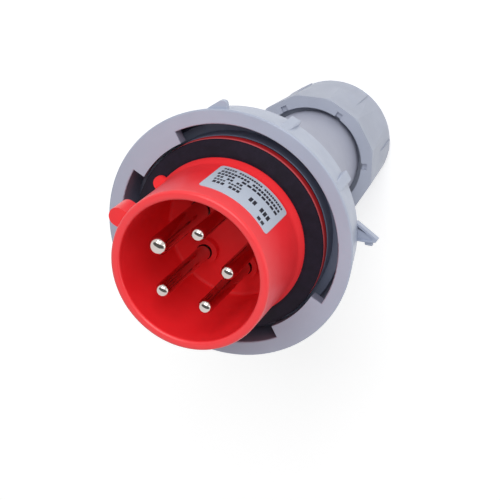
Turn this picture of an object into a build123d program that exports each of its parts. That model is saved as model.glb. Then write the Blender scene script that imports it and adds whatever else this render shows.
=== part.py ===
from build123d import *
from math import cos, radians, sin
import os

# A five-pin, 32 ampere industrial plug, watertight, with a bayonet locking ring.
# Millimetres. The plug stands on the flat rear end of its gland nut, with its axis
# along +Z and its contact pins up. Heights are measured from that rear end, and
# angles about +Z from the earth pin, which lies on +X.

# How deep an added form is rooted in its carrier, and how far a cut runs past its surface
ROOT = 1.0
SPARE = 1.0

# Shroud and the disc that carries the contacts, one red moulding
PLUG_LENGTH = 187.6
SHROUD_OUTER_R = 32.25
SHROUD_WALL = 3.7
SHROUD_HEIGHT = 38.6
RIM_ROUND = 1.5
FOOT_STEP = 1.35
FOOT_HEIGHT = 4.6
FOOT_EDGE_HEIGHT = 0.8
FOOT_ROUND = 6.0
FLANGE_WIDTH = 6.7
FLANGE_THICKNESS = 4.4
FLANGE_REAR_ROUND = 0.3
FLANGE_FRONT_ROUND = 0.2
FLOOR_BELOW_FLANGE = 1.4
FLOOR_ROUND = 1.5
BASE_THICKNESS = 10.0
SKIRT_INSET = 3.9
SKIRT_WALL = 3.4
SKIRT_LENGTH = 21.0
SKIRT_END_ROUND = 0.6

# Key on the shroud near the earth pin, and a tab at its foot that holds the gasket
KEY_HEIGHT = 6.45
KEY_WIDTH = 7.6
KEY_LENGTH = 9.8
KEY_SETBACK = 5.0
KEY_ROUND = 3.7
KEY_ANGLE = 2.8
TAB_HEIGHT = 4.65
TAB_WIDTH = 6.5
TAB_THICKNESS = 1.4
TAB_ROUND = 3.1
TAB_ANGLE = -5.0

# Contact pins
PIN_CIRCLE_R = 15.35
PIN_COUNT = 5
PHASE_PIN_R = 3.0
EARTH_PIN_R = 4.0
PHASE_PIN_SETBACK = 0.6
EARTH_PIN_SETBACK = 0.3
COLLAR_HEIGHT = 1.5
COLLAR_STEP = 1.0
PIN_TIP_ROUND_SHARE = 0.97
PHASE_BARREL_R = 5.0
EARTH_BARREL_R = 5.8
BARREL_LENGTH = 21.0
BARREL_END_ROUND = 0.4
PHASE_WIRE_BORE_R = 2.9
EARTH_WIRE_BORE_R = 3.4
WIRE_BORE_DEPTH = 15.0
BOSS_WALL = 2.4
BOSS_HEIGHT = 3.0
SHANK_STEP = 0.3
SHANK_STAND = 0.4
PIN_FIT = 0.03
SCREW_STAND = 1.4

# Terminal screws, across the barrels
TERMINAL_SCREW_R = 2.0
TERMINAL_SCREW_LENGTH = 5.6
TERMINAL_SCREW_ABOVE_END = 6.0
SCREW_SLOT_WIDTH = 0.8
SCREW_SLOT_DEPTH = 1.2

# Retainer behind the contacts, with webs that part the terminals
RETAINER_THICKNESS = 4.0
RETAINER_FIT = 0.4
WEB_THICKNESS = 1.6
WEB_DEPTH = 11.0
WEB_END_GAP = 2.6
SPACER_GAP = 0.4
HUB_R = 4.0
BARREL_FIT = 0.15
RETAINER_SCREW_INSET = 5.2
RETAINER_SCREW_R = 1.7
RETAINER_SCREW_HEAD_R = 3.1
RETAINER_SCREW_HEAD_HEIGHT = 2.2
RETAINER_SCREW_GRIP = 6.0
RETAINER_SCREW_END_GAP = 0.5

# Gasket and flange seal
GASKET_HEIGHT = 3.2
GASKET_EDGE_HEIGHT = 0.9
GASKET_EDGE_ROUND = 0.5
GASKET_UNDERCUT = 0.9
GASKET_CROWN_STEP = 1.2
GASKET_CROWN_DROP = 0.3
GASKET_CROWN_ROUND = 2.0
GASKET_TOP_GAP = 0.1
SEAL_THICKNESS = 1.0
SEAL_INNER_GAP = 0.4
SEAL_EDGE_INSET = 0.3

# Housing
SPIGOT_LENGTH = 7.2
SPIGOT_ROUND = 0.6
COLLAR_STEP_OUT = 3.9
COLLAR_LENGTH = 3.4
COLLAR_REAR_ROUND = 0.4
JOURNAL_STEP_OUT = 0.6
JOURNAL_LENGTH = 14.8
JOURNAL_END_ROUND = 5.0
HOUSING_WALL = 3.0
FUNNEL_WALL_DROP = 1.0
FUNNEL_LENGTH = 23.0
FUNNEL_END_STEP = 2.0
FUNNEL_END_RISE = 4.0
FUNNEL_END_ROUND = 14.0
GRIP_TOP_R = 24.2
GRIP_END_R = 22.8
GRIP_END_IN_NUT = 4.0
GRIP_END_ROUND = 0.8
THREAD_R = 22.0
THREAD_END_Z = 12.0
THREAD_END_ROUND = 0.6
NECK_WALL = 3.0
SEAL_SEAT_Z = 30.0
SEAL_SEAT_R = 14.5
SEAL_SEAT_THICKNESS = 4.0
SNAP_BEAD_HEIGHT = 0.8
SNAP_BEAD_WIDTH = 3.0
SNAP_BEAD_ROOT = 0.5
SNAP_BEAD_SIDE_GAP = 0.4
SKIRT_FIT = 0.1
SKIRT_END_GAP = 1.0

# Bayonet locking ring
RING_ABOVE_FLANGE = 1.6
RING_GAP = 2.4
RING_WIDTH = 6.0
RING_RIM_LENGTH = 0.9
RING_TAPER = 0.2
RING_INNER_ROUND = 0.5
RING_OUTER_ROUND = 0.6
RING_REAR_ROUND = 2.2
RING_BORE_END_ROUND = 1.0
LIP_THICKNESS = 4.1
RING_CLEARANCE = 0.3
RIB_ANGLES = (-84.7, -119.5)
RIB_WIDTH = 4.4
RIB_FRONT_SETBACK = 1.2
RIB_LENGTH = 18.7
RIB_TAPER = 0.06
RIB_ROOT_STEP = 0.8
RIB_SINK = 0.2
RIB_ROUND = 0.7
LUG_GAP = 1.3
LUG_THICKNESS = 5.0
LUG_SPAN_ANGLE = 32.0
LUG_ANGLE = -15.0
TURN_ANGLE = 45.0
STOP_PEG_SPAN_ANGLE = 8.0
STOP_PEG_SPARE_ANGLE = 2.0
STOP_PEG_HEIGHT = 1.9
STOP_PEG_ANGLE = 100.0
WING_HEIGHT = 4.8
WING_ANGLE = -149.6
WING_SPAN_ANGLE = 7.3
WING_LENGTH = 2.8
WING_FOOT_STEP = 0.4
WING_ROOT_DEPTH = 3.4
WING_TIP_ROUND = 0.4
WING_TIP_STEP = 0.8
WING_TIP_ANGLE = 1.3
WING_BACK_ROUND = 0.3
WING_BACK_HEIGHT = 3.6
WING_BACK_ANGLE = 1.9
WING_SKIN = 0.8
WING_SKIN_ANGLE = 1.52
WING_SLIT_ANGLE = 3.6
WING_SLIT_END_STEP = 3.6
WING_SLIT_END_ANGLE = 1.3
WING_FACE_DEPTH = 0.7
WING_FACE_STEP = 2.2
WING_FACE_ANGLE = 3.0
WING_FACE_TOP_ANGLES = (0.6, -0.7)
WING_HEEL_ANGLE = 1.0
WING_POCKET_RISE = 0.2
WING_BEAD_R = 1.0
WING_BEAD_LENGTH = 3.4
WING_BEAD_ANGLE = 2.7
WING_BEAD_ROUND_SHARE = 0.6
POINTER_HEIGHT = 3.0
POINTER_ANGLE = -56.5
POINTER_SPAN_ANGLE = 9.0
POINTER_LENGTH = 2.4
POINTER_SETBACK = 1.8
POINTER_SLOPE_SHARE = 0.75
POINTER_TOE = 0.1
POINTER_TIP_ANGLE = 0.9
POINTER_TIP_ROUND = 3.0
POINTER_BACK_STEP = 0.2
POINTER_BACK_ANGLE = 1.6
POINTER_BACK_ROUND = 1.2

# Snap ring that keeps the locking ring on its journal
SNAP_RING_THICKNESS = 1.5
SNAP_RING_DEPTH = 1.3
SNAP_RING_STAND = 1.9
SNAP_RING_GAP_ANGLE = 16.0
SNAP_RING_ANGLE = -90.0
SNAP_GROOVE_FIT = 0.1

# Cable gland
NUT_LENGTH = 41.0
NUT_FRONT_R = 31.6
NUT_REAR_R = 28.4
NUT_SIDES = 12
NUT_MOUTH_GAP = 2.5
NUT_MOUTH_DEPTH = 7.0
NUT_FLOOR = 4.0
NUT_THREAD_UNDERCUT = 5.0
NUT_THREAD_FIT = 0.1
NUT_EDGE_ROUND = 2.0
NUT_EDGE_STEP = 0.8
NUT_FRONT_ROUND = 0.8
NUT_RELIEF = 2.0
CABLE_HOLE_R = 12.0
PAD_COUNT = 6
PAD_ANGLE = -90.0
PAD_WIDTH = 5.4
PAD_LENGTH = 24.0
PAD_RAMP = 8.0
PAD_RISE = 0.6
PAD_SETBACK = 1.0
PAD_ROOT = 2.0
PAD_ROUND = 0.5
PAD_SINK = 0.2
NOTCH_WIDTH = 3.0
NOTCH_DEPTH = 1.4
NOTCH_OPENING = 0.3
PRESSURE_RING_HEIGHT = 4.5
PRESSURE_RING_SIDE_GAP = 0.6
PRESSURE_RING_GAP = 0.2
PRESSURE_RING_BORE_STEP = 0.2
PRESSURE_RING_ROUND = 0.4
CAGE_SIDE_GAP = 0.3
CAGE_BORE_STEP = 0.4
CAGE_TOP_GAP = 4.0
CAGE_WALL = 2.2
CAGE_BASE_HEIGHT = 3.0
CAGE_FINGERS = 12
CAGE_SLOT_WIDTH = 1.6
CAGE_SLOT_STAND = 1.0
CABLE_SEAL_BORE_R = 9.5
CABLE_SEAL_ROUND = 0.8
GLAND_GAP = 0.2

# Rating label on the shroud
LABEL_SPAN_ANGLE = 58.0
LABEL_ANGLE = -90.0
LABEL_LENGTH = 24.2
LABEL_SETBACK = 8.6
LABEL_THICKNESS = 0.2
LABEL_CORNER = 1.6

# Heights and radii that follow from the values above
CAVITY_R = SHROUD_OUTER_R - SHROUD_WALL
SHROUD_FOOT_R = SHROUD_OUTER_R + FOOT_STEP
FLANGE_R = SHROUD_FOOT_R + FLANGE_WIDTH
FOOT_EDGE_Z = PLUG_LENGTH - SHROUD_HEIGHT
FLANGE_TOP_Z = FOOT_EDGE_Z - GASKET_HEIGHT
FLANGE_REAR_Z = FLANGE_TOP_Z - FLANGE_THICKNESS
CAVITY_FLOOR_Z = FLANGE_REAR_Z - FLOOR_BELOW_FLANGE
BASE_REAR_Z = CAVITY_FLOOR_Z - BASE_THICKNESS
SKIRT_R = FLANGE_R - SKIRT_INSET
SKIRT_END_Z = FLANGE_REAR_Z - SKIRT_LENGTH
SKIRT_INNER_R = SKIRT_R - SKIRT_WALL
SNAP_BEAD_Z = SKIRT_END_Z + 2 * SNAP_BEAD_WIDTH
SHANK_TOP_Z = CAVITY_FLOOR_Z + BOSS_HEIGHT + SHANK_STAND
COLLAR_END_Z = BASE_REAR_Z - COLLAR_HEIGHT
BARREL_END_Z = COLLAR_END_Z - BARREL_LENGTH
RETAINER_END_Z = COLLAR_END_Z - RETAINER_THICKNESS
RETAINER_R = SKIRT_INNER_R - RETAINER_FIT
RETAINER_SCREW_CIRCLE_R = RETAINER_R - RETAINER_SCREW_INSET
SPIGOT_R = FLANGE_R
COLLAR_R = SPIGOT_R + COLLAR_STEP_OUT
JOURNAL_R = SPIGOT_R + JOURNAL_STEP_OUT
SPIGOT_TOP_Z = FLANGE_REAR_Z - SEAL_THICKNESS
HOUSING_COLLAR_TOP_Z = SPIGOT_TOP_Z - SPIGOT_LENGTH
HOUSING_COLLAR_END_Z = HOUSING_COLLAR_TOP_Z - COLLAR_LENGTH
JOURNAL_END_Z = HOUSING_COLLAR_END_Z - JOURNAL_LENGTH
GRIP_TOP_Z = JOURNAL_END_Z - FUNNEL_LENGTH
GRIP_END_Z = NUT_LENGTH - GRIP_END_IN_NUT
SEAL_BORE_R = THREAD_R - NECK_WALL
RING_FRONT_Z = FLANGE_TOP_Z + RING_ABOVE_FLANGE
RING_INNER_R = COLLAR_R + RING_GAP
RING_OUTER_R = RING_INNER_R + RING_WIDTH
LIP_TOP_Z = HOUSING_COLLAR_END_Z - RING_CLEARANCE
RING_REAR_Z = LIP_TOP_Z - LIP_THICKNESS
RING_REAR_R = RING_OUTER_R - RING_TAPER * (RING_FRONT_Z - RING_RIM_LENGTH - RING_REAR_Z)
LIP_R = JOURNAL_R + RING_CLEARANCE
SNAP_RING_TOP_Z = RING_REAR_Z - RING_CLEARANCE
NUT_MOUTH_R = GRIP_END_R + NUT_MOUTH_GAP
NUT_FLAT_R = (NUT_REAR_R + NUT_EDGE_STEP) * cos(radians(180.0 / NUT_SIDES))
PRESSURE_RING_R = SEAL_BORE_R - PRESSURE_RING_SIDE_GAP
CAGE_OUTER_R = SEAL_BORE_R - CAGE_SIDE_GAP
CAGE_BASE_Z = NUT_FLOOR + PRESSURE_RING_GAP + PRESSURE_RING_HEIGHT + GLAND_GAP
CAGE_INNER_R = CAGE_OUTER_R - CAGE_WALL
GASKET_INNER_R = SHROUD_FOOT_R - GASKET_UNDERCUT
PIN_ANGLES = [360.0 * index / PIN_COUNT for index in range(PIN_COUNT)]
RETAINER_SCREW_ANGLES = (PIN_ANGLES[1], PIN_ANGLES[4])


def polar(radius, angle):
    return radius * cos(radians(angle)), radius * sin(radians(angle))


def outline(*corners):
    # Closed outline whose corners are (across, up) or (across, up, rounding).
    face = make_face(Polyline(*[corner[:2] for corner in corners], close=True))
    for corner in corners:
        if len(corner) == 3:
            vertex = face.vertices().sort_by_distance((corner[0], corner[1], 0))[0]
            face = fillet(vertex, corner[2])
    return face


def turned(*corners):
    return revolve(Plane.XZ * outline(*corners), Axis.Z)


def tube(inner, outer, low, high):
    return turned((inner, low), (outer, low), (outer, high), (inner, high))


def arc_block(inner, outer, low, high, angle, spread):
    # Part of a tube, centred on an angle.
    section = outline((inner, low), (outer, low), (outer, high), (inner, high))
    block = revolve(Plane.XZ * section, Axis.Z, revolution_arc=spread)
    return Rot(0, 0, angle - spread / 2) * block


def bar(radius, low, high, across=(0, 0)):
    height = high - low
    return Pos(across[0], across[1], low + height / 2) * Cylinder(radius, height)


def radial_key(rise, width, low, high, angle, rounding):
    # Block with a rounded top that grows out of the shroud's wall.
    root = SHROUD_OUTER_R - SHROUD_WALL / 2
    outer = SHROUD_OUTER_R + rise
    profile = outline(
        (root, -width / 2),
        (outer, -width / 2, rounding),
        (outer, width / 2, rounding),
        (root, width / 2),
    )
    return Rot(0, 0, angle) * Pos(0, 0, low) * extrude(profile, high - low)


def pin_radius(index):
    return EARTH_PIN_R if index == 0 else PHASE_PIN_R


def shank_radius(index):
    return pin_radius(index) + SHANK_STEP


def barrel_radius(index):
    return EARTH_BARREL_R if index == 0 else PHASE_BARREL_R


# Contact carrier: shroud, flange, base with its bosses, skirt and keys
def contact_carrier():
    body = turned(
        (0, BASE_REAR_Z),
        (SKIRT_INNER_R, BASE_REAR_Z),
        (SKIRT_INNER_R, SKIRT_END_Z),
        (SKIRT_R, SKIRT_END_Z, SKIRT_END_ROUND),
        (SKIRT_R, FLANGE_REAR_Z),
        (FLANGE_R, FLANGE_REAR_Z, FLANGE_REAR_ROUND),
        (FLANGE_R, FLANGE_TOP_Z, FLANGE_FRONT_ROUND),
        (GASKET_INNER_R, FLANGE_TOP_Z),
        (GASKET_INNER_R, FOOT_EDGE_Z),
        (SHROUD_FOOT_R, FOOT_EDGE_Z),
        (SHROUD_FOOT_R, FOOT_EDGE_Z + FOOT_EDGE_HEIGHT),
        (SHROUD_OUTER_R, FOOT_EDGE_Z + FOOT_HEIGHT, FOOT_ROUND),
        (SHROUD_OUTER_R, PLUG_LENGTH, RIM_ROUND),
        (CAVITY_R, PLUG_LENGTH, RIM_ROUND),
        (CAVITY_R, CAVITY_FLOOR_Z, FLOOR_ROUND),
        (0, CAVITY_FLOOR_Z),
    )
    key_top = PLUG_LENGTH - KEY_SETBACK
    body += radial_key(KEY_HEIGHT, KEY_WIDTH, key_top - KEY_LENGTH, key_top, KEY_ANGLE, KEY_ROUND)
    tab_top = FOOT_EDGE_Z + TAB_THICKNESS
    body += radial_key(TAB_HEIGHT, TAB_WIDTH, FOOT_EDGE_Z, tab_top, TAB_ANGLE, TAB_ROUND)
    for index, angle in enumerate(PIN_ANGLES):
        centre = polar(PIN_CIRCLE_R, angle)
        boss_r = pin_radius(index) + BOSS_WALL
        body += bar(boss_r, CAVITY_FLOOR_Z - ROOT, CAVITY_FLOOR_Z + BOSS_HEIGHT, centre)
    for index, angle in enumerate(PIN_ANGLES):
        centre = polar(PIN_CIRCLE_R, angle)
        body -= bar(shank_radius(index) + PIN_FIT, BASE_REAR_Z, PLUG_LENGTH, centre)
    for angle in RETAINER_SCREW_ANGLES:
        centre = polar(RETAINER_SCREW_CIRCLE_R, angle)
        body -= bar(RETAINER_SCREW_R, BASE_REAR_Z, BASE_REAR_Z + RETAINER_SCREW_GRIP, centre)
    bead = turned(
        (SKIRT_R - SNAP_BEAD_ROOT, SNAP_BEAD_Z - SNAP_BEAD_WIDTH / 2),
        (SKIRT_R + SNAP_BEAD_HEIGHT, SNAP_BEAD_Z),
        (SKIRT_R - SNAP_BEAD_ROOT, SNAP_BEAD_Z + SNAP_BEAD_WIDTH / 2),
    )
    return body + bead


# Contact pins, solid, with a thicker shank, a collar and a drilled barrel for the wire
def contact_pin(index):
    shaft_r = pin_radius(index)
    barrel_r = barrel_radius(index)
    bore_r = EARTH_WIRE_BORE_R if index == 0 else PHASE_WIRE_BORE_R
    setback = EARTH_PIN_SETBACK if index == 0 else PHASE_PIN_SETBACK
    tip = PLUG_LENGTH - setback
    pin = turned(
        (0, BARREL_END_Z),
        (barrel_r, BARREL_END_Z, BARREL_END_ROUND),
        (barrel_r, COLLAR_END_Z),
        (barrel_r + COLLAR_STEP, COLLAR_END_Z),
        (barrel_r + COLLAR_STEP, BASE_REAR_Z),
        (shank_radius(index), BASE_REAR_Z),
        (shank_radius(index), SHANK_TOP_Z),
        (shaft_r, SHANK_TOP_Z),
        (shaft_r, tip, PIN_TIP_ROUND_SHARE * shaft_r),
        (0, tip),
    )
    pin -= bar(bore_r, BARREL_END_Z, BARREL_END_Z + WIRE_BORE_DEPTH)
    screw_z = BARREL_END_Z + TERMINAL_SCREW_ABOVE_END
    tapped = Pos(barrel_r / 2, 0, screw_z) * Rot(0, 90, 0) * Cylinder(TERMINAL_SCREW_R, barrel_r)
    pin -= tapped
    return Rot(0, 0, PIN_ANGLES[index]) * Pos(PIN_CIRCLE_R, 0, 0) * pin


# Terminal screws, one across each barrel, with a driver slot
def terminal_screws():
    screws = []
    for index, angle in enumerate(PIN_ANGLES):
        outer_end = barrel_radius(index) + SCREW_STAND
        screw = Cylinder(TERMINAL_SCREW_R - PIN_FIT, TERMINAL_SCREW_LENGTH)
        slot = Box(SCREW_SLOT_WIDTH, 3 * TERMINAL_SCREW_R, SCREW_SLOT_DEPTH)
        screw -= Pos(0, 0, (TERMINAL_SCREW_LENGTH - SCREW_SLOT_DEPTH) / 2) * slot
        middle = PIN_CIRCLE_R + outer_end - TERMINAL_SCREW_LENGTH / 2
        height = BARREL_END_Z + TERMINAL_SCREW_ABOVE_END
        screws.append(Rot(0, 0, angle) * Pos(middle, 0, height) * Rot(0, 90, 0) * screw)
    return Compound(screws)


# Retainer plate: holds the contact collars and keeps the terminals apart
def contact_retainer():
    plate = tube(0, RETAINER_R, RETAINER_END_Z, COLLAR_END_Z)
    web_low = RETAINER_END_Z - WEB_DEPTH
    plate += bar(HUB_R, web_low, RETAINER_END_Z)
    for index in range(PIN_COUNT):
        angle = PIN_ANGLES[index] + 180.0 / PIN_COUNT
        web_reach = RETAINER_R - WEB_END_GAP
        web = Pos(web_reach / 2, 0, (web_low + RETAINER_END_Z) / 2)
        web *= Box(web_reach, WEB_THICKNESS, WEB_DEPTH)
        plate += Rot(0, 0, angle) * web
    for index, angle in enumerate(PIN_ANGLES):
        centre = polar(PIN_CIRCLE_R, angle)
        hole_r = barrel_radius(index) + BARREL_FIT
        plate -= bar(hole_r, web_low, COLLAR_END_Z, centre)
    plate += spacer_ring()
    for angle in RETAINER_SCREW_ANGLES:
        centre = polar(RETAINER_SCREW_CIRCLE_R, angle)
        plate -= bar(RETAINER_SCREW_R + BARREL_FIT, RETAINER_END_Z, BASE_REAR_Z, centre)
    return plate


def spacer_ring():
    # Raised rim that bears on the carrier's base around the collars.
    inner = PIN_CIRCLE_R + EARTH_BARREL_R + COLLAR_STEP + SPACER_GAP
    return tube(inner, RETAINER_R, COLLAR_END_Z, BASE_REAR_Z)


def retainer_screws():
    screws = []
    for angle in RETAINER_SCREW_ANGLES:
        centre = polar(RETAINER_SCREW_CIRCLE_R, angle)
        head_low = RETAINER_END_Z - RETAINER_SCREW_HEAD_HEIGHT
        shank_top = BASE_REAR_Z + RETAINER_SCREW_GRIP - RETAINER_SCREW_END_GAP
        screw = bar(RETAINER_SCREW_HEAD_R, head_low, RETAINER_END_Z, centre)
        screw += bar(RETAINER_SCREW_R - PIN_FIT, RETAINER_END_Z, shank_top, centre)
        slot = Box(3 * RETAINER_SCREW_HEAD_R, SCREW_SLOT_WIDTH, 2 * SCREW_SLOT_DEPTH)
        screw -= Pos(centre[0], centre[1], head_low) * slot
        screws.append(screw)
    return Compound(screws)


# Front gasket, a rubber ring stretched over the shroud's foot
def flange_gasket():
    return turned(
        (GASKET_INNER_R, FLANGE_TOP_Z),
        (FLANGE_R, FLANGE_TOP_Z),
        (FLANGE_R, FLANGE_TOP_Z + GASKET_EDGE_HEIGHT, GASKET_EDGE_ROUND),
        (SHROUD_FOOT_R + GASKET_CROWN_STEP, FOOT_EDGE_Z - GASKET_CROWN_DROP, GASKET_CROWN_ROUND),
        (GASKET_INNER_R, FOOT_EDGE_Z - GASKET_TOP_GAP),
    )


# Flat seal between the flange and the housing
def housing_seal():
    inner = SKIRT_R + SEAL_INNER_GAP
    return tube(inner, SPIGOT_R - SEAL_EDGE_INSET, SPIGOT_TOP_Z, FLANGE_REAR_Z)


# Housing: spigot, collar and journal for the ring, funnel, grip and threaded neck
def housing():
    skirt_bore = SKIRT_R + SKIRT_FIT
    groove_high = SNAP_RING_TOP_Z + SNAP_GROOVE_FIT
    groove_low = SNAP_RING_TOP_Z - SNAP_RING_THICKNESS - SNAP_GROOVE_FIT
    groove_r = JOURNAL_R - SNAP_RING_DEPTH
    skirt_stop_z = SKIRT_END_Z - SKIRT_END_GAP
    shell = turned(
        (SPIGOT_R, SPIGOT_TOP_Z, SPIGOT_ROUND),
        (SPIGOT_R, HOUSING_COLLAR_TOP_Z),
        (COLLAR_R, HOUSING_COLLAR_TOP_Z, SPIGOT_ROUND),
        (COLLAR_R, HOUSING_COLLAR_END_Z, COLLAR_REAR_ROUND),
        (JOURNAL_R, HOUSING_COLLAR_END_Z),
        (JOURNAL_R, groove_high),
        (groove_r, groove_high),
        (groove_r, groove_low),
        (JOURNAL_R, groove_low),
        (JOURNAL_R, JOURNAL_END_Z, JOURNAL_END_ROUND),
        (GRIP_TOP_R + FUNNEL_END_STEP, GRIP_TOP_Z + FUNNEL_END_RISE, FUNNEL_END_ROUND),
        (GRIP_END_R, GRIP_END_Z, GRIP_END_ROUND),
        (THREAD_R, GRIP_END_Z),
        (THREAD_R, THREAD_END_Z, THREAD_END_ROUND),
        (SEAL_BORE_R, THREAD_END_Z),
        (SEAL_BORE_R, SEAL_SEAT_Z),
        (SEAL_SEAT_R, SEAL_SEAT_Z),
        (SEAL_SEAT_R, SEAL_SEAT_Z + SEAL_SEAT_THICKNESS),
        (GRIP_END_R - HOUSING_WALL, SEAL_SEAT_Z + 2 * SEAL_SEAT_THICKNESS),
        (GRIP_TOP_R - HOUSING_WALL, GRIP_TOP_Z, FUNNEL_END_ROUND),
        (SKIRT_INNER_R, JOURNAL_END_Z - FUNNEL_WALL_DROP),
        (SKIRT_INNER_R, skirt_stop_z),
        (skirt_bore, skirt_stop_z),
        (skirt_bore, SPIGOT_TOP_Z),
    )
    bead_reach = SNAP_BEAD_WIDTH / 2 + SNAP_BEAD_SIDE_GAP
    shell -= turned(
        (skirt_bore - SNAP_BEAD_ROOT, SNAP_BEAD_Z - bead_reach),
        (skirt_bore + SNAP_BEAD_HEIGHT, SNAP_BEAD_Z),
        (skirt_bore - SNAP_BEAD_ROOT, SNAP_BEAD_Z + bead_reach),
    )
    peg_low = HOUSING_COLLAR_END_Z - LIP_THICKNESS / 2
    shell += arc_block(
        JOURNAL_R - ROOT,
        JOURNAL_R + STOP_PEG_HEIGHT,
        peg_low,
        HOUSING_COLLAR_END_Z + ROOT,
        STOP_PEG_ANGLE,
        STOP_PEG_SPAN_ANGLE,
    )
    return shell


# Locking ring: cone with a thin rim, two lugs, and wings, ribs and a pointer outside
def locking_ring():
    ring = turned(
        (RING_INNER_R, RING_FRONT_Z, RING_INNER_ROUND),
        (RING_OUTER_R, RING_FRONT_Z, RING_OUTER_ROUND),
        (RING_OUTER_R, RING_FRONT_Z - RING_RIM_LENGTH),
        (RING_REAR_R, RING_REAR_Z, RING_REAR_ROUND),
        (LIP_R, RING_REAR_Z),
        (LIP_R, LIP_TOP_Z),
        (RING_INNER_R, LIP_TOP_Z, RING_BORE_END_ROUND),
    )
    for turn in (0, 180):
        ring += bayonet_lug(LUG_ANGLE + turn)
        ring += finger_wing(WING_ANGLE + turn)
        for angle in RIB_ANGLES:
            ring += Rot(0, 0, angle + turn) * grip_rib()
    ring += pointer()
    slot_span = TURN_ANGLE + STOP_PEG_SPAN_ANGLE + STOP_PEG_SPARE_ANGLE
    slot_angle = STOP_PEG_ANGLE - TURN_ANGLE / 2
    ring -= arc_block(
        LIP_R - SPARE,
        JOURNAL_R + STOP_PEG_HEIGHT + RING_CLEARANCE,
        HOUSING_COLLAR_END_Z - LIP_THICKNESS / 2 - RING_CLEARANCE,
        LIP_TOP_Z + SPARE,
        slot_angle,
        slot_span,
    )
    return ring


def bayonet_lug(angle):
    low = RING_FRONT_Z - LUG_THICKNESS
    inner = FLANGE_R + LUG_GAP
    return arc_block(inner, RING_INNER_R + ROOT, low, RING_FRONT_Z, angle, LUG_SPAN_ANGLE)


def grip_rib():
    # Rib along the cone, almost parallel to the axis, that ends square near the rear.
    root = RING_INNER_R + RIB_ROOT_STEP
    front = RING_FRONT_Z - RIB_FRONT_SETBACK
    top = RING_OUTER_R - RIB_SINK
    profile = outline(
        (root, front - RIB_LENGTH),
        (top - RIB_TAPER * RIB_LENGTH, front - RIB_LENGTH),
        (top, front),
        (root, front),
    )
    rib = extrude(Plane.XZ * profile, RIB_WIDTH / 2, both=True)
    tops = rib.edges().filter_by(lambda edge: edge.center().X > RING_REAR_R + ROOT)
    return fillet(tops.filter_by(lambda edge: edge.center().Z < front - RIB_ROUND), RIB_ROUND)


def finger_wing(angle):
    # Thin ramped wing at the cone's rear end, for turning the ring by hand. Its front
    # is sunk between its skin and its heel, and a rounded bead lies behind the heel.
    low = RING_REAR_Z
    high = low + WING_LENGTH
    tip_r = RING_OUTER_R + WING_HEIGHT
    foot_r = RING_REAR_R + WING_FOOT_STEP
    pocket_r = foot_r + WING_POCKET_RISE
    face_top_r = tip_r - WING_FACE_STEP
    root = RING_REAR_R - WING_ROOT_DEPTH
    start = angle + WING_SPAN_ANGLE
    back = angle - WING_BACK_ANGLE
    plan = outline(
        polar(root, start),
        polar(foot_r, start),
        (*polar(tip_r, angle), WING_TIP_ROUND),
        (*polar(tip_r - WING_TIP_STEP, angle - WING_TIP_ANGLE), WING_BACK_ROUND),
        polar(foot_r + WING_BACK_HEIGHT, back),
        polar(root, back),
    )
    wing = Pos(0, 0, low) * extrude(plan, WING_LENGTH)
    skin_pocket = outline(
        polar(pocket_r, start - WING_SKIN_ANGLE),
        polar(tip_r - WING_SLIT_END_STEP, angle + WING_SLIT_END_ANGLE),
        polar(pocket_r, start - WING_SLIT_ANGLE),
    )
    face_pocket = outline(
        polar(pocket_r, start - WING_FACE_ANGLE),
        polar(face_top_r, angle + WING_FACE_TOP_ANGLES[0]),
        polar(face_top_r, angle + WING_FACE_TOP_ANGLES[1]),
        polar(pocket_r, angle - WING_HEEL_ANGLE),
    )
    wing -= Pos(0, 0, low + WING_SKIN) * extrude(skin_pocket, WING_LENGTH)
    wing -= Pos(0, 0, high - WING_FACE_DEPTH) * extrude(face_pocket, WING_LENGTH)
    bead_angle = angle - WING_BEAD_ANGLE
    bead_x, bead_y = polar(face_top_r - WING_BEAD_LENGTH / 2, bead_angle)
    bead = Pos(bead_x, bead_y, low + WING_BEAD_R) * Rot(0, 0, bead_angle) * Rot(0, 90, 0)
    bead *= Cylinder(WING_BEAD_R, WING_BEAD_LENGTH)
    ends = bead.edges().filter_by(GeomType.CIRCLE)
    return wing + fillet(ends, WING_BEAD_ROUND_SHARE * WING_BEAD_R)


def pointer():
    # Small rounded nib with one long slope on the rim, that shows the ring's position.
    high = RING_FRONT_Z - POINTER_SETBACK
    tip_r = RING_OUTER_R + POINTER_HEIGHT
    slope_end = POINTER_ANGLE + POINTER_SLOPE_SHARE * POINTER_SPAN_ANGLE
    back = slope_end - POINTER_SPAN_ANGLE
    plan = outline(
        polar(RING_OUTER_R - ROOT, slope_end),
        polar(RING_OUTER_R + POINTER_TOE, slope_end),
        (*polar(tip_r, POINTER_ANGLE + POINTER_TIP_ANGLE), POINTER_TIP_ROUND),
        (*polar(tip_r - POINTER_BACK_STEP, POINTER_ANGLE - POINTER_BACK_ANGLE), POINTER_BACK_ROUND),
        polar(RING_OUTER_R - ROOT, back),
    )
    nib = extrude(plan, POINTER_LENGTH)
    return Pos(0, 0, high - POINTER_LENGTH) * nib


# Snap ring: open spring ring in the groove behind the locking ring
def snap_ring():
    inner = JOURNAL_R - SNAP_RING_DEPTH + SNAP_GROOVE_FIT
    low = SNAP_RING_TOP_Z - SNAP_RING_THICKNESS
    outer = JOURNAL_R + SNAP_RING_STAND
    span = 360.0 - SNAP_RING_GAP_ANGLE
    return arc_block(inner, outer, low, SNAP_RING_TOP_Z, SNAP_RING_ANGLE, span)


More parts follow.
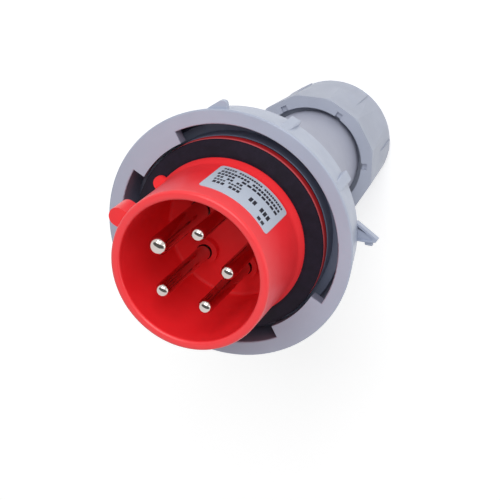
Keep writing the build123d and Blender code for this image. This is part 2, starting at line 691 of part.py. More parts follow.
# Gland nut: twelve-sided cap, rounded towards the rear, with finger pads and notches
def gland_nut():
    thread_r = THREAD_R + NUT_THREAD_FIT
    relief_r = THREAD_R - NUT_RELIEF
    thread_low = THREAD_END_Z - NUT_THREAD_UNDERCUT
    mouth_low = NUT_LENGTH - NUT_MOUTH_DEPTH
    turn = 180.0 / NUT_SIDES
    front = Pos(0, 0, NUT_LENGTH) * RegularPolygon(NUT_FRONT_R, NUT_SIDES, rotation=turn)
    rear = RegularPolygon(NUT_REAR_R + NUT_EDGE_STEP, NUT_SIDES, rotation=turn)
    nut = loft([rear, front])
    nut &= turned(
        (0, 0),
        (NUT_REAR_R, 0, NUT_EDGE_ROUND),
        (NUT_FRONT_R, NUT_LENGTH, NUT_FRONT_ROUND),
        (0, NUT_LENGTH),
    )
    pad_angles = [PAD_ANGLE + 360.0 * index / PAD_COUNT for index in range(PAD_COUNT)]
    for angle in pad_angles:
        nut += Rot(0, 0, angle) * nut_pad()
    nut -= turned(
        (0, NUT_FLOOR),
        (relief_r, NUT_FLOOR),
        (relief_r, thread_low),
        (thread_r, thread_low),
        (thread_r, mouth_low),
        (NUT_MOUTH_R, mouth_low),
        (NUT_MOUTH_R, NUT_LENGTH + SPARE),
        (0, NUT_LENGTH + SPARE),
    )
    nut -= bar(CABLE_HOLE_R, -SPARE, NUT_FLOOR + SPARE)
    for angle in pad_angles:
        notch = Pos(NUT_MOUTH_R + NOTCH_WIDTH / 2 - NOTCH_OPENING, 0, NUT_LENGTH)
        notch *= Box(NOTCH_WIDTH, NOTCH_WIDTH, 2 * NOTCH_DEPTH)
        nut -= Rot(0, 0, angle) * notch
    return nut


def nut_pad():
    # Low raised pad on every second side. It starts near the rear edge, and its front
    # end runs out into the side.
    taper = (NUT_FRONT_R - NUT_REAR_R - NUT_EDGE_STEP) * cos(radians(180.0 / NUT_SIDES)) / NUT_LENGTH
    start = NUT_EDGE_ROUND + PAD_SETBACK
    end = start + PAD_LENGTH
    ramp_start = end - PAD_RAMP
    root = NUT_FLAT_R - PAD_ROOT
    profile = outline(
        (root, start),
        (NUT_FLAT_R + PAD_RISE + taper * start, start, PAD_ROUND),
        (NUT_FLAT_R + PAD_RISE + taper * ramp_start, ramp_start),
        (NUT_FLAT_R - PAD_SINK + taper * end, end),
        (root, end),
    )
    return extrude(Plane.XZ * profile, PAD_WIDTH / 2, both=True)


# Pressure ring: travels with the nut and presses on the clamping cage
def pressure_ring():
    low = NUT_FLOOR + PRESSURE_RING_GAP
    high = low + PRESSURE_RING_HEIGHT
    bore_r = CABLE_HOLE_R + PRESSURE_RING_BORE_STEP
    return turned(
        (bore_r, low),
        (PRESSURE_RING_R, low, PRESSURE_RING_ROUND),
        (PRESSURE_RING_R, high, PRESSURE_RING_ROUND),
        (bore_r, high),
    )


# Clamping cage: ring of fingers that closes round the cable seal
def clamp_cage():
    top = SEAL_SEAT_Z - CAGE_TOP_GAP
    base_top = CAGE_BASE_Z + CAGE_BASE_HEIGHT
    bore_r = CABLE_HOLE_R + CAGE_BORE_STEP
    cage = turned(
        (bore_r, CAGE_BASE_Z),
        (CAGE_OUTER_R, CAGE_BASE_Z),
        (CAGE_OUTER_R, top),
        (CAGE_INNER_R, top),
        (CAGE_INNER_R, base_top),
        (bore_r, base_top),
    )
    height = top - base_top
    for index in range(CAGE_FINGERS // 2):
        slot = Box(3 * CAGE_OUTER_R, CAGE_SLOT_WIDTH, height)
        slot = Pos(0, 0, base_top + height / 2 + CAGE_SLOT_STAND) * slot
        cage -= Rot(0, 0, 180.0 * index / (CAGE_FINGERS // 2)) * slot
    return cage


# Cable seal: rubber sleeve inside the cage, seated on the housing's shoulder
def cable_seal():
    low = CAGE_BASE_Z + CAGE_BASE_HEIGHT + GLAND_GAP
    high = SEAL_SEAT_Z
    return turned(
        (CABLE_SEAL_BORE_R, low, CABLE_SEAL_ROUND),
        (CAGE_INNER_R - GLAND_GAP, low),
        (CAGE_INNER_R - GLAND_GAP, high),
        (CABLE_SEAL_BORE_R, high, CABLE_SEAL_ROUND),
    )


# Rating label: thin foil with rounded corners, wrapped on the shroud
def rating_label():
    top = PLUG_LENGTH - LABEL_SETBACK
    low = top - LABEL_LENGTH
    outer = SHROUD_OUTER_R + LABEL_THICKNESS
    foil = arc_block(SHROUD_OUTER_R, outer, low, top, LABEL_ANGLE, LABEL_SPAN_ANGLE)
    corners = foil.edges().filter_by(lambda edge: 0.9 < edge.length / LABEL_THICKNESS < 1.1)
    return fillet(corners, LABEL_CORNER)


def main():
    nodes = {
        "contact_carrier": contact_carrier(),
        "earth_pin": contact_pin(0),
        "neutral_pin": contact_pin(1),
        "line_pin_1": contact_pin(2),
        "line_pin_2": contact_pin(3),
        "line_pin_3": contact_pin(4),
        "terminal_screws": terminal_screws(),
        "contact_retainer": contact_retainer(),
        "retainer_screws": retainer_screws(),
        "flange_gasket": flange_gasket(),
        "housing_seal": housing_seal(),
        "housing": housing(),
        "locking_ring": locking_ring(),
        "snap_ring": snap_ring(),
        "gland_nut": gland_nut(),
        "pressure_ring": pressure_ring(),
        "clamp_cage": clamp_cage(),
        "cable_seal": cable_seal(),
        "rating_label": rating_label(),
    }
    os.makedirs("parts", exist_ok=True)
    for name, shape in nodes.items():
        export_step(shape, f"parts/{name}.step")


main()
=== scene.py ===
from math import pi, radians

import bpy
from mathutils import Matrix, Vector


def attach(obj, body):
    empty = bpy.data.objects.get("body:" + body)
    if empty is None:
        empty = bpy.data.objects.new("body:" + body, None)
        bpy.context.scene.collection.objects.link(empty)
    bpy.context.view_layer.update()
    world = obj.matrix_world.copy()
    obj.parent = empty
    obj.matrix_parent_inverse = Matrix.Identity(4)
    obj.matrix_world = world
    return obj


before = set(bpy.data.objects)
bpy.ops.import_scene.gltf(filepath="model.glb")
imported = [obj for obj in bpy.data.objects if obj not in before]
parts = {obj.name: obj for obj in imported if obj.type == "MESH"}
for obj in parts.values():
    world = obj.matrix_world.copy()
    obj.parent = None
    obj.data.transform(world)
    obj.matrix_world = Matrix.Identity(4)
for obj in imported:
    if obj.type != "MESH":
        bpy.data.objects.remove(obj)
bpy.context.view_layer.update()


# Contact carrier: the red shroud, its flange, base and skirt are one moulding.
# Glass-filled polyamide, injection moulded in a polished tool, so the skin is
# satin and even, with faint flow marks. The front rim's top is painted paler, a painted
# highlight.
def paint(code):
    """Turns an sRGB hex value to the linear colour that a node takes."""
    channels = [int(code[i:i + 2], 16) / 255 for i in (1, 3, 5)]
    return [c / 12.92 if c <= 0.04045 else ((c + 0.055) / 1.055) ** 2.4 for c in channels] + [1.0]


def add_node(tree, kind, inputs=(), **settings):
    """Adds one node. Inputs are numbers or sockets, by the socket's name or place."""
    node = tree.nodes.new(kind)
    for name, value in settings.items():
        setattr(node, name, value)
    for name, value in dict(inputs).items():
        if isinstance(value, bpy.types.NodeSocket):
            tree.links.new(value, node.inputs[name])
        else:
            node.inputs[name].default_value = value
    return node


def bare_finish(name):
    """A material with its shader alone, and the piece's own coordinates in metres."""
    finish = bpy.data.materials.new(name)
    finish.use_nodes = True
    tree = finish.node_tree
    tree.nodes.clear()
    shader = add_node(tree, "ShaderNodeBsdfPrincipled")
    add_node(tree, "ShaderNodeOutputMaterial", {"Surface": shader.outputs["BSDF"]})
    place = add_node(tree, "ShaderNodeTexCoord").outputs["Object"]
    return finish, tree, shader, place


# A colour mix takes its share and its two colours, and gives the mixed one, at these places.
SHARE, COLOUR_A, COLOUR_B, MIXED = 0, 6, 7, 2
POLYAMIDE_IOR = 1.53
FLOW_MARK_MM, RUBBED_SPOT_MM = 28, 7
GLOSSIER, DULLER = 0.05, 0.07


def moulded_polyamide(name, mid, pale, roughness, skin_mm, skin_depth_mm):
    """Satin moulded polyamide: flow marks in the colour, rubbed spots, a fine skin."""
    finish, tree, shader, place = bare_finish(name)
    shader.inputs["IOR"].default_value = POLYAMIDE_IOR
    flow = add_node(tree, "ShaderNodeTexNoise", {
        "Vector": place, "Scale": 1000 / FLOW_MARK_MM, "Detail": 3.0, "Roughness": 0.55,
        "Distortion": 0.6})
    flow_mark = add_node(tree, "ShaderNodeMapRange", {
        "Value": flow.outputs["Fac"], "From Min": 0.35, "From Max": 0.7})
    tint = add_node(tree, "ShaderNodeMix", {
        SHARE: flow_mark.outputs[0], COLOUR_A: paint(mid), COLOUR_B: paint(pale)},
        data_type="RGBA").outputs[MIXED]
    tree.links.new(tint, shader.inputs["Base Color"])
    rubbed = add_node(tree, "ShaderNodeTexNoise", {
        "Vector": place, "Scale": 1000 / RUBBED_SPOT_MM, "Detail": 5.0, "Roughness": 0.65})
    polish = add_node(tree, "ShaderNodeMapRange", {
        "Value": rubbed.outputs["Fac"], "From Min": 0.3, "From Max": 0.7,
        "To Min": roughness - GLOSSIER, "To Max": roughness + DULLER}).outputs[0]
    tree.links.new(polish, shader.inputs["Roughness"])
    # The tool's skin is finer than a pixel, so it is drawn as coarse as it needs to show.
    skin = add_node(tree, "ShaderNodeTexNoise", {
        "Vector": place, "Scale": 1000 / skin_mm, "Detail": 3.0, "Roughness": 0.6})
    relief = add_node(tree, "ShaderNodeBump", {
        "Height": skin.outputs["Fac"], "Strength": 1.0, "Distance": skin_depth_mm / 1000})
    tree.links.new(relief.outputs["Normal"], shader.inputs["Normal"])
    return finish, tree, shader, place, tint, polish


def from_axis(tree, place):
    """Distance from the plug's axis, and height over its rear end, in metres."""
    axes = add_node(tree, "ShaderNodeSeparateXYZ", {"Vector": place})
    flat = add_node(tree, "ShaderNodeCombineXYZ", {
        "X": axes.outputs["X"], "Y": axes.outputs["Y"]})
    reach = add_node(tree, "ShaderNodeVectorMath", {0: flat.outputs[0]}, operation="LENGTH")
    return reach.outputs["Value"], axes.outputs["Z"]


def dress(part, finish):
    """Gives a part its finish in every material slot."""
    for index in range(len(part.material_slots)):
        part.material_slots[index].material = finish


red_polyamide, tree, shader, place, plain_red, polish = moulded_polyamide(
    "red_polyamide_moulded", mid="#F6242C", pale="#FA2C33",
    roughness=0.33, skin_mm=0.55, skin_depth_mm=0.010)
reach, height = from_axis(tree, place)
# Painted highlight: the red turns paler towards the rim's top.
RIM_TOP, HIGHLIGHT_DEEP, HIGHLIGHT_SHARE = 0.1876, 0.0016, 0.5
rim_highlight = add_node(tree, "ShaderNodeMapRange", {
    "Value": height, "From Min": RIM_TOP - HIGHLIGHT_DEEP, "From Max": RIM_TOP,
    "To Max": HIGHLIGHT_SHARE}, interpolation_type="SMOOTHSTEP")
rim_tint = add_node(tree, "ShaderNodeMix", {
    SHARE: rim_highlight.outputs[0], COLOUR_A: plain_red, COLOUR_B: paint("#FF4A50")},
    data_type="RGBA")
# Painted shade and highlight: the flange's side, which stands in the ring's shade, is painted a
# deeper red, and its front edge is painted paler as a highlight.
FLANGE_SIDE_R, SIDE_BLEND = 0.0385, 0.0004
FLANGE_FRONT, EDGE_BEGINS, EDGE_FULL = 0.1458, 0.0018, 0.0006
on_flange = add_node(tree, "ShaderNodeMapRange", {
    "Value": reach, "From Min": FLANGE_SIDE_R, "From Max": FLANGE_SIDE_R + SIDE_BLEND})
front_edge_highlight = add_node(tree, "ShaderNodeMapRange", {
    "Value": height, "From Min": FLANGE_FRONT - EDGE_BEGINS,
    "From Max": FLANGE_FRONT - EDGE_FULL})
flange_shade_tint = add_node(tree, "ShaderNodeMix", {
    SHARE: front_edge_highlight.outputs[0], COLOUR_A: paint("#C41A22"), COLOUR_B: paint("#F46C72")},
    data_type="RGBA")
shroud_tint = add_node(tree, "ShaderNodeMix", {
    SHARE: on_flange.outputs[0], COLOUR_A: rim_tint.outputs[MIXED],
    COLOUR_B: flange_shade_tint.outputs[MIXED]}, data_type="RGBA")
tree.links.new(shroud_tint.outputs[MIXED], shader.inputs["Base Color"])
# The tool isn't polished at the bottom of the cavity, so the red is matt there.
CAVITY_FLOOR, MATT_TO, POLISHED_FROM = 0.1400, 0.004, 0.023
ROUGHER_BELOW = 0.28
unpolished = add_node(tree, "ShaderNodeMapRange", {
    "Value": height, "From Min": CAVITY_FLOOR + MATT_TO, "From Max": CAVITY_FLOOR + POLISHED_FROM,
    "To Min": ROUGHER_BELOW, "To Max": 0.0})
matt_floor = add_node(tree, "ShaderNodeMath", {0: polish, 1: unpolished.outputs[0]})
tree.links.new(matt_floor.outputs[0], shader.inputs["Roughness"])
dress(parts["contact_carrier"], red_polyamide)


# Contact pins: one earth pin and four thinner ones, turned from brass bar with a
# rounded tip and a drilled barrel, then nickel plated. Bright, with faint rings
# from the lathe along the shaft.
nickel_plate, tree, shader, place = bare_finish("nickel_plate_on_turned_brass")
shader.inputs["Metallic"].default_value = 1.0
# The lathe's rings are finer than a pixel, so they are drawn coarser, and very shallow.
# A wave texture has 20 radians to a unit.
LATHE_RING_MM, LATHE_RING_DEEP = 5.655, 0.000001
WAVE_RADIANS = 20
turning = add_node(tree, "ShaderNodeTexWave", {
    "Vector": place, "Scale": 2 * pi * 1000 / LATHE_RING_MM / WAVE_RADIANS,
    "Distortion": 1.2, "Detail": 2.0}, wave_type="BANDS", bands_direction="Z")
lathe_relief = add_node(tree, "ShaderNodeBump", {
    "Height": turning.outputs["Fac"], "Strength": 1.0, "Distance": LATHE_RING_DEEP})
tree.links.new(lathe_relief.outputs["Normal"], shader.inputs["Normal"])
TARNISH_MM = 5
tarnish = add_node(tree, "ShaderNodeTexNoise", {
    "Vector": place, "Scale": 1000 / TARNISH_MM, "Detail": 4.0, "Roughness": 0.6})
nickel_tint = add_node(tree, "ShaderNodeMix", {
    SHARE: tarnish.outputs["Fac"], COLOUR_A: paint("#D8D0CC"), COLOUR_B: paint("#C6BDB7")},
    data_type="RGBA")
# Each pin is painted darker at its foot, where it steps into its shank.
FOOT, FOOT_BLEND = 0.1435, 0.0012
height = add_node(tree, "ShaderNodeSeparateXYZ", {"Vector": place}).outputs["Z"]
darker_foot = add_node(tree, "ShaderNodeMapRange", {
    "Value": height, "From Min": FOOT, "From Max": FOOT + FOOT_BLEND,
    "To Min": 1.0, "To Max": 0.0})
foot_tint = add_node(tree, "ShaderNodeMix", {
    SHARE: darker_foot.outputs[0], COLOUR_A: nickel_tint.outputs[MIXED],
    COLOUR_B: paint("#4A3A38")}, data_type="RGBA")
tree.links.new(foot_tint.outputs[MIXED], shader.inputs["Base Color"])
nickel_gloss = add_node(tree, "ShaderNodeMapRange", {
    "Value": tarnish.outputs["Fac"], "From Min": 0.3, "From Max": 0.7,
    "To Min": 0.05, "To Max": 0.13})
tree.links.new(nickel_gloss.outputs[0], shader.inputs["Roughness"])
for name in ("earth_pin", "neutral_pin", "line_pin_1", "line_pin_2", "line_pin_3"):
    dress(parts[name], nickel_plate)


# Terminal screws and retainer screws: slotted steel screws, zinc plated and
# passivated. The plating is dull and slightly warm, with a cloudy bloom.
zinc_plate, tree, shader, place = bare_finish("zinc_plate_on_steel")
shader.inputs["Metallic"].default_value = 1.0
ZINC_CLOUD_MM = 1.2
cloud = add_node(tree, "ShaderNodeTexNoise", {
    "Vector": place, "Scale": 1000 / ZINC_CLOUD_MM, "Detail": 3.0})
zinc_tint = add_node(tree, "ShaderNodeMix", {
    SHARE: cloud.outputs["Fac"], COLOUR_A: paint("#C9C8C0"), COLOUR_B: paint("#AEB0B2")},
    data_type="RGBA")
tree.links.new(zinc_tint.outputs[MIXED], shader.inputs["Base Color"])
zinc_gloss = add_node(tree, "ShaderNodeMapRange", {
    "Value": cloud.outputs["Fac"], "To Min": 0.28, "To Max": 0.5})
tree.links.new(zinc_gloss.outputs[0], shader.inputs["Roughness"])
for name in ("terminal_screws", "retainer_screws"):
    dress(parts[name], zinc_plate)


# Retainer behind the contacts: a plain black plate with webs, moulded in the same
# polyamide as the shroud but with carbon black in it. Matt, a little coarse.
black_polyamide = moulded_polyamide(
    "black_polyamide_moulded", mid="#232327", pale="#2B2B30",
    roughness=0.48, skin_mm=0.5, skin_depth_mm=0.012)[0]
dress(parts["contact_retainer"], black_polyamide)


# Gasket and housing seal: soft black rubber rings, compression moulded. The gasket
# is stretched over the shroud's foot, and the seal lies flat behind the flange.
# Matt, with a thin pale bloom on it.
black_rubber, tree, shader, place = bare_finish("black_rubber_moulded")
shader.inputs["IOR"].default_value = 1.5
shader.inputs["Specular IOR Level"].default_value = 0.13
RUBBER_BLOOM_MM = 6
bloom = add_node(tree, "ShaderNodeTexNoise", {
    "Vector": place, "Scale": 1000 / RUBBER_BLOOM_MM, "Detail": 6.0, "Roughness": 0.7})
bloom_share = add_node(tree, "ShaderNodeMapRange", {
    "Value": bloom.outputs["Fac"], "From Min": 0.4, "From Max": 0.75})
rubber_tint = add_node(tree, "ShaderNodeMix", {
    SHARE: bloom_share.outputs[0], COLOUR_A: paint("#1C1722"), COLOUR_B: paint("#26202F")},
    data_type="RGBA")
tree.links.new(rubber_tint.outputs[MIXED], shader.inputs["Base Color"])
rubber_gloss = add_node(tree, "ShaderNodeMapRange", {
    "Value": bloom.outputs["Fac"], "To Min": 0.5, "To Max": 0.7})
tree.links.new(rubber_gloss.outputs[0], shader.inputs["Roughness"])
RUBBER_SKIN_MM, RUBBER_SKIN_DEEP = 0.6, 0.000012
rubber_skin = add_node(tree, "ShaderNodeTexNoise", {
    "Vector": place, "Scale": 1000 / RUBBER_SKIN_MM, "Detail": 2.0})
rubber_relief = add_node(tree, "ShaderNodeBump", {
    "Height": rubber_skin.outputs["Fac"], "Strength": 1.0, "Distance": RUBBER_SKIN_DEEP})
tree.links.new(rubber_relief.outputs["Normal"], shader.inputs["Normal"])
for name in ("flange_gasket", "housing_seal"):
    dress(parts[name], black_rubber)


# Housing: one light grey moulding, from the spigot behind the flange down the
# funnel and the round grip to the gland's thread. Polyamide from a tool with a
# lightly sparked face, so it is even, satin and a little soft to look at.
grey_polyamide, tree, shader, place, plain_grey, _ = moulded_polyamide(
    "grey_polyamide_moulded", mid="#ABAEBE", pale="#B1B4C4",
    roughness=0.42, skin_mm=0.7, skin_depth_mm=0.014)
# Painted shade: the spigot and collar that carry the flange stand deep in the ring's gap, and are
# painted darker, slate, as the photograph has them.
SPIGOT_LOW, SPIGOT_BLEND = 0.1290, 0.0008
height = add_node(tree, "ShaderNodeSeparateXYZ", {"Vector": place}).outputs["Z"]
spigot_shade_share = add_node(tree, "ShaderNodeMapRange", {
    "Value": height, "From Min": SPIGOT_LOW, "From Max": SPIGOT_LOW + SPIGOT_BLEND})
spigot_shade_tint = add_node(tree, "ShaderNodeMix", {
    SHARE: spigot_shade_share.outputs[0], COLOUR_A: plain_grey, COLOUR_B: paint("#79829A")},
    data_type="RGBA")
tree.links.new(spigot_shade_tint.outputs[MIXED], shader.inputs["Base Color"])
dress(parts["housing"], grey_polyamide)


# Snap ring: an open ring of drawn spring wire, oiled and left bare. It springs
# into a groove of the housing, and keeps the locking ring on its journal.
# Grey and half bright, with faint marks from the die.
spring_wire, tree, shader, place = bare_finish("spring_steel_drawn")
shader.inputs["Metallic"].default_value = 1.0
DRAW_MARK_MM = 1.5
draw_marks = add_node(tree, "ShaderNodeTexNoise", {
    "Vector": place, "Scale": 1000 / DRAW_MARK_MM, "Detail": 4.0})
wire_tint = add_node(tree, "ShaderNodeMix", {
    SHARE: draw_marks.outputs["Fac"], COLOUR_A: paint("#A9AAAC"), COLOUR_B: paint("#8C8D92")},
    data_type="RGBA")
tree.links.new(wire_tint.outputs[MIXED], shader.inputs["Base Color"])
wire_gloss = add_node(tree, "ShaderNodeMapRange", {
    "Value": draw_marks.outputs["Fac"], "To Min": 0.25, "To Max": 0.42})
tree.links.new(wire_gloss.outputs[0], shader.inputs["Roughness"])
dress(parts["snap_ring"], spring_wire)


# Locking ring: a light grey cone with a thin rim, two lugs inside and wings, ribs
# and a pointer outside, moulded in one shot in the housing's polyamide. It is
# handled most, so its skin is a little more polished.
ring_polyamide, tree, shader, place, plain_grey, _ = moulded_polyamide(
    "grey_polyamide_moulded_handled", mid="#ABB3C6", pale="#B2BACD",
    roughness=0.38, skin_mm=0.7, skin_depth_mm=0.012)
# Painted shade: the bore behind the ring's front edge is painted darker, as the shade in the
# ring's deep gap.
BORE_R, SHADED_TO, UNSHADED_FROM = 0.0466, 0.0001, 0.0003
RING_FRONT, SHADE_FULL, SHADE_ENDS = 0.1474, 0.0008, 0.0002
SHADE_SHARE = 0.75
reach, height = from_axis(tree, place)
inside = add_node(tree, "ShaderNodeMapRange", {
    "Value": reach, "From Min": BORE_R + SHADED_TO, "From Max": BORE_R + UNSHADED_FROM,
    "To Min": 1.0, "To Max": 0.0})
depth = add_node(tree, "ShaderNodeMapRange", {
    "Value": height, "From Min": RING_FRONT - SHADE_FULL, "From Max": RING_FRONT - SHADE_ENDS,
    "To Min": SHADE_SHARE, "To Max": 0.0})
bore_shade = add_node(tree, "ShaderNodeMath", {
    0: inside.outputs[0], 1: depth.outputs[0]}, operation="MULTIPLY")
ring_tint = add_node(tree, "ShaderNodeMix", {
    SHARE: bore_shade.outputs[0], COLOUR_A: plain_grey, COLOUR_B: paint("#66667C")},
    data_type="RGBA")
tree.links.new(ring_tint.outputs[MIXED], shader.inputs["Base Color"])
dress(parts["locking_ring"], ring_polyamide)


# Cable gland: twelve-sided grey nut, black pressure ring and clamping cage, and
# the rubber seal in it. The nut squeezes them on the cable as it is screwed on.
# Its tool is sparked coarser than the housing's, so it is the dullest grey piece.
nut_polyamide = moulded_polyamide(
    "grey_polyamide_moulded_sparked", mid="#A9AFBF", pale="#B2B8C8",
    roughness=0.46, skin_mm=0.8, skin_depth_mm=0.018)[0]
dress(parts["gland_nut"], nut_polyamide)
for name in ("pressure_ring", "clamp_cage"):
    dress(parts[name], black_polyamide)
dress(parts["cable_seal"], black_rubber)


# Rating label: a thin aluminium-backed foil, printed, die cut with round corners
# and wrapped on the shroud. Satin silver. Its print is rows of plain blocks alone.
label_foil, tree, shader, place = bare_finish("printed_label_foil")
shader.inputs["IOR"].default_value = 1.5
LABEL_R, LABEL_LOW = 0.03245, 0.1548
axes = add_node(tree, "ShaderNodeSeparateXYZ", {"Vector": place})
facing = add_node(tree, "ShaderNodeMath", {0: axes.outputs["Y"], 1: -1.0}, operation="MULTIPLY")
turn = add_node(tree, "ShaderNodeMath", {
    0: axes.outputs["X"], 1: facing.outputs[0]}, operation="ARCTAN2")
along = add_node(tree, "ShaderNodeMath", {
    0: turn.outputs[0], 1: LABEL_R}, operation="MULTIPLY").outputs[0]
# Each row of print is plain blocks, and the last of each group is left out: start along
# the label, number of blocks, blocks in a group, level over its edge, half height, pitch.
SMALL, MIDDLE, TALL, LARGE = 0.00074, 0.00090, 0.00112, 0.00165
rows = [
    (-0.0139, 27, 11, 0.0027, SMALL, 0.00105),
    (-0.0138, 21, 12, 0.0058, MIDDLE, 0.00135),
    (-0.0138, 8, 9, 0.0087, MIDDLE, 0.00235),
    (0.0077, 5, 6, 0.0086, MIDDLE, 0.00145),
    (0.0032, 8, 3, 0.0116, MIDDLE, 0.00136),
    (0.0024, 10, 6, 0.0144, SMALL, 0.00117),
    (0.0021, 7, 4, 0.0173, TALL, 0.00166),
    (-0.0132, 6, 4, 0.0162, LARGE, 0.00190),
    (-0.0130, 2, 3, 0.0218, TALL, 0.00210),
]
BLOCK_SHARE = 0.76
print_mask = 0.0
for start, blocks, group, level, half_height, pitch in rows:
    half_length = (blocks - 1 + BLOCK_SHARE) * pitch / 2
    in_length = add_node(tree, "ShaderNodeMath", {
        0: along, 1: start + half_length, 2: half_length}, operation="COMPARE")
    in_height = add_node(tree, "ShaderNodeMath", {
        0: axes.outputs["Z"], 1: LABEL_LOW + level, 2: half_height}, operation="COMPARE")
    row = add_node(tree, "ShaderNodeMath", {
        0: in_length.outputs[0], 1: in_height.outputs[0]}, operation="MULTIPLY")
    travel = add_node(tree, "ShaderNodeMath", {0: along, 1: start}, operation="SUBTRACT")
    for step, share in ((pitch, BLOCK_SHARE), (pitch * group, 1 - 1 / group)):
        count = add_node(tree, "ShaderNodeMath", {
            0: travel.outputs[0], 1: step}, operation="DIVIDE")
        within = add_node(tree, "ShaderNodeMath", {0: count.outputs[0]}, operation="FRACT")
        kept = add_node(tree, "ShaderNodeMath", {
            0: within.outputs[0], 1: share}, operation="LESS_THAN")
        row = add_node(tree, "ShaderNodeMath", {
            0: row.outputs[0], 1: kept.outputs[0]}, operation="MULTIPLY")
    print_mask = add_node(tree, "ShaderNodeMath", {
        0: print_mask, 1: row.outputs[0]}, operation="MAXIMUM").outputs[0]
FOIL_GRAIN_MM = 0.9
grain = add_node(tree, "ShaderNodeTexNoise", {
    "Vector": place, "Scale": 1000 / FOIL_GRAIN_MM, "Detail": 3.0})
foil_tint = add_node(tree, "ShaderNodeMix", {
    SHARE: grain.outputs["Fac"], COLOUR_A: paint("#BAC4D4"), COLOUR_B: paint("#C5CDDB")},
    data_type="RGBA")
printed = add_node(tree, "ShaderNodeMix", {
    SHARE: print_mask, COLOUR_A: foil_tint.outputs[MIXED], COLOUR_B: paint("#1E1E2A")},
    data_type="RGBA")
tree.links.new(printed.outputs[MIXED], shader.inputs["Base Color"])
foil_gloss = add_node(tree, "ShaderNodeMapRange", {
    "Value": grain.outputs["Fac"], "To Min": 0.28, "To Max": 0.4})
tree.links.new(foil_gloss.outputs[0], shader.inputs["Roughness"])
dress(parts["rating_label"], label_foil)


# Floor: a sheet of white card under the plug. It shows as white to the camera and
# in reflections, and keeps the plug's shadow.
def put_in_scene(name, data):
    """Adds an object for a mesh, a lamp or a camera."""
    added = bpy.data.objects.new(name, data)
    bpy.context.scene.collection.objects.link(added)
    return added


def flat_card(name, finish, *fields):
    """A sheet of card of one or more rectangles: left, right, low and high of each."""
    sheet = bpy.data.meshes.new(name)
    corners = [(x, y, 0) for left, right, low, high in fields
               for x, y in ((left, low), (right, low), (right, high), (left, high))]
    faces = [range(first, first + 4) for first in range(0, len(corners), 4)]
    sheet.from_pydata(corners, [], faces)
    sheet.materials.append(finish)
    return put_in_scene(name, sheet)


def seen_rays(tree):
    """Share of a ray that the camera, a reflection or clear glass sends: 1 or 0."""
    path = add_node(tree, "ShaderNodeLightPath")
    seen = path.outputs["Is Camera Ray"]
    for name in ("Is Glossy Ray", "Is Transmission Ray"):
        seen = add_node(tree, "ShaderNodeMath", {
            0: seen, 1: path.outputs[name]}, operation="MAXIMUM").outputs[0]
    return seen


white_card, tree, shader, place = bare_finish("white_card")
shader.inputs["Base Color"].default_value = paint("#E6E6E6")
shader.inputs["Roughness"].default_value = 0.8
shader.inputs["Specular IOR Level"].default_value = 0.0
shader.inputs["Emission Color"].default_value = paint("#FFFFFF")
# Less lamp light reaches the card far out, so it is lifted more there.
NEAR, FAR = 0.35, 1.6
LIFT_NEAR, LIFT_FAR = 0.48, 0.78
away = add_node(tree, "ShaderNodeVectorMath", {0: place}, operation="LENGTH")
far_out = add_node(tree, "ShaderNodeMapRange", {
    "Value": away.outputs["Value"], "From Min": NEAR, "From Max": FAR,
    "To Min": LIFT_NEAR, "To Max": LIFT_FAR})
lift = add_node(tree, "ShaderNodeMath", {
    0: seen_rays(tree), 1: far_out.outputs[0]}, operation="MULTIPLY")
tree.links.new(lift.outputs[0], shader.inputs["Emission Strength"])
FLOOR_HALF = 4.0
floor = flat_card("floor_card", white_card, (-FLOOR_HALF, FLOOR_HALF, -FLOOR_HALF, FLOOR_HALF))
# The plug stands on its nut, so the card keeps to the nut as the gland is undone.
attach(floor, "pressure_ring_body")


# Studio light: an even white room, one large soft box behind the camera and a little
# above it, and a smaller, weaker one at the camera's right.
AMBIENT, BACKDROP = 0.44, 1.0
room = bpy.data.worlds.new("white_room")
room.use_nodes = True
tree = room.node_tree
tree.nodes.clear()
ambient = add_node(tree, "ShaderNodeBackground", {
    "Color": paint("#FFFFFF"), "Strength": AMBIENT})
backdrop = add_node(tree, "ShaderNodeBackground", {
    "Color": paint("#FFFFFF"), "Strength": BACKDROP})
either = add_node(tree, "ShaderNodeMixShader", {
    0: seen_rays(tree), 1: ambient.outputs[0], 2: backdrop.outputs[0]})
add_node(tree, "ShaderNodeOutputWorld", {"Surface": either.outputs[0]})
bpy.context.scene.world = room

LAMP_AIM, LAMP_AWAY = Vector((0.0, 0.0, 0.13)), 1.2


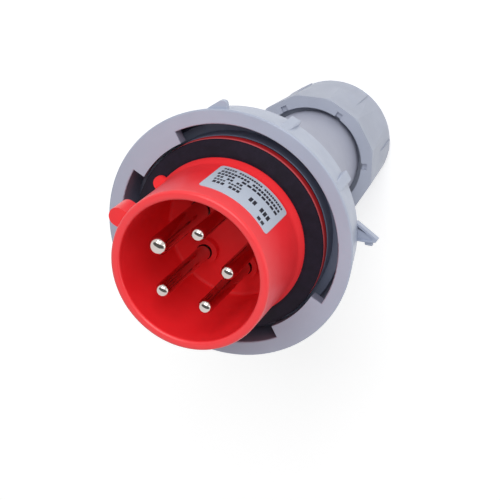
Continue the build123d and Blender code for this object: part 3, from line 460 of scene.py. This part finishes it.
def hang_lamp(name, side, watts, toward):
    """A square lamp that hangs off the plug in one direction and faces it."""
    lamp = bpy.data.lights.new(name, "AREA")
    lamp.shape = "SQUARE"
    lamp.size = side
    lamp.energy = watts
    toward = Vector(toward).normalized()
    hung = put_in_scene(name, lamp)
    hung.location = LAMP_AIM + LAMP_AWAY * toward
    hung.rotation_euler = toward.to_track_quat("Z", "Y").to_euler()


hang_lamp("soft_box", side=0.9, watts=9.0, toward=(0.20, -0.66, 0.72))
hang_lamp("side_fill", side=0.7, watts=1.6, toward=(-0.85, -0.45, 0.25))


# Camera: the photograph's view of the plug, from in front and a little to one side
# of its shroud, as a pinhole fitted to the photograph's circles gives it.
LENS_MM, FRAME_MM = 93.6, 36.0
view = bpy.data.cameras.new("photo_view")
view.lens = LENS_MM
view.sensor_width = FRAME_MM
view.clip_start = 0.01
right = Vector((-0.80034845, -0.48500326, -0.35244036))
up = Vector((0.59348987, -0.72419588, -0.35115540))
back = Vector((-0.08492434, -0.49021645, 0.86745356))
turned = Matrix((right, up, back)).transposed().to_4x4()
stand = Matrix.Translation((-0.05514155, -0.25674351, 0.59936592))
photo_view = put_in_scene("photo_view", view)
photo_view.matrix_world = stand @ turned
bpy.context.scene.camera = photo_view
bpy.context.scene.view_settings.view_transform = "Standard"


# Flag: a bar of grey card behind the camera, with a stem up across the soft box.
# Bright metal alone shows it, as the dark band in each pin's tip and the line that
# parts its highlight.
BAR_HALF, BAR_LOW, BAR_HIGH = 1.60, -0.50, 0.05
STEM_LEFT, STEM_RIGHT, STEM_HIGH = -0.27, -0.17, 0.90
FLAG_BEHIND, FLAG_TURN = 0.12, radians(-24)
grey_card, _, shader, _ = bare_finish("grey_card")
shader.inputs["Base Color"].default_value = paint("#808080")
shader.inputs["Roughness"].default_value = 0.9
flag = flat_card(
    "grey_flag", grey_card, (-BAR_HALF, BAR_HALF, BAR_LOW, BAR_HIGH),
    (STEM_LEFT, STEM_RIGHT, BAR_HIGH, STEM_HIGH))
set_back = Matrix.Translation(FLAG_BEHIND * back)
flag.matrix_world = set_back @ stand @ turned @ Matrix.Rotation(FLAG_TURN, 4, "Z")
flag.visible_camera = False
flag.visible_diffuse = False
flag.visible_shadow = False
flag.visible_transmission = False
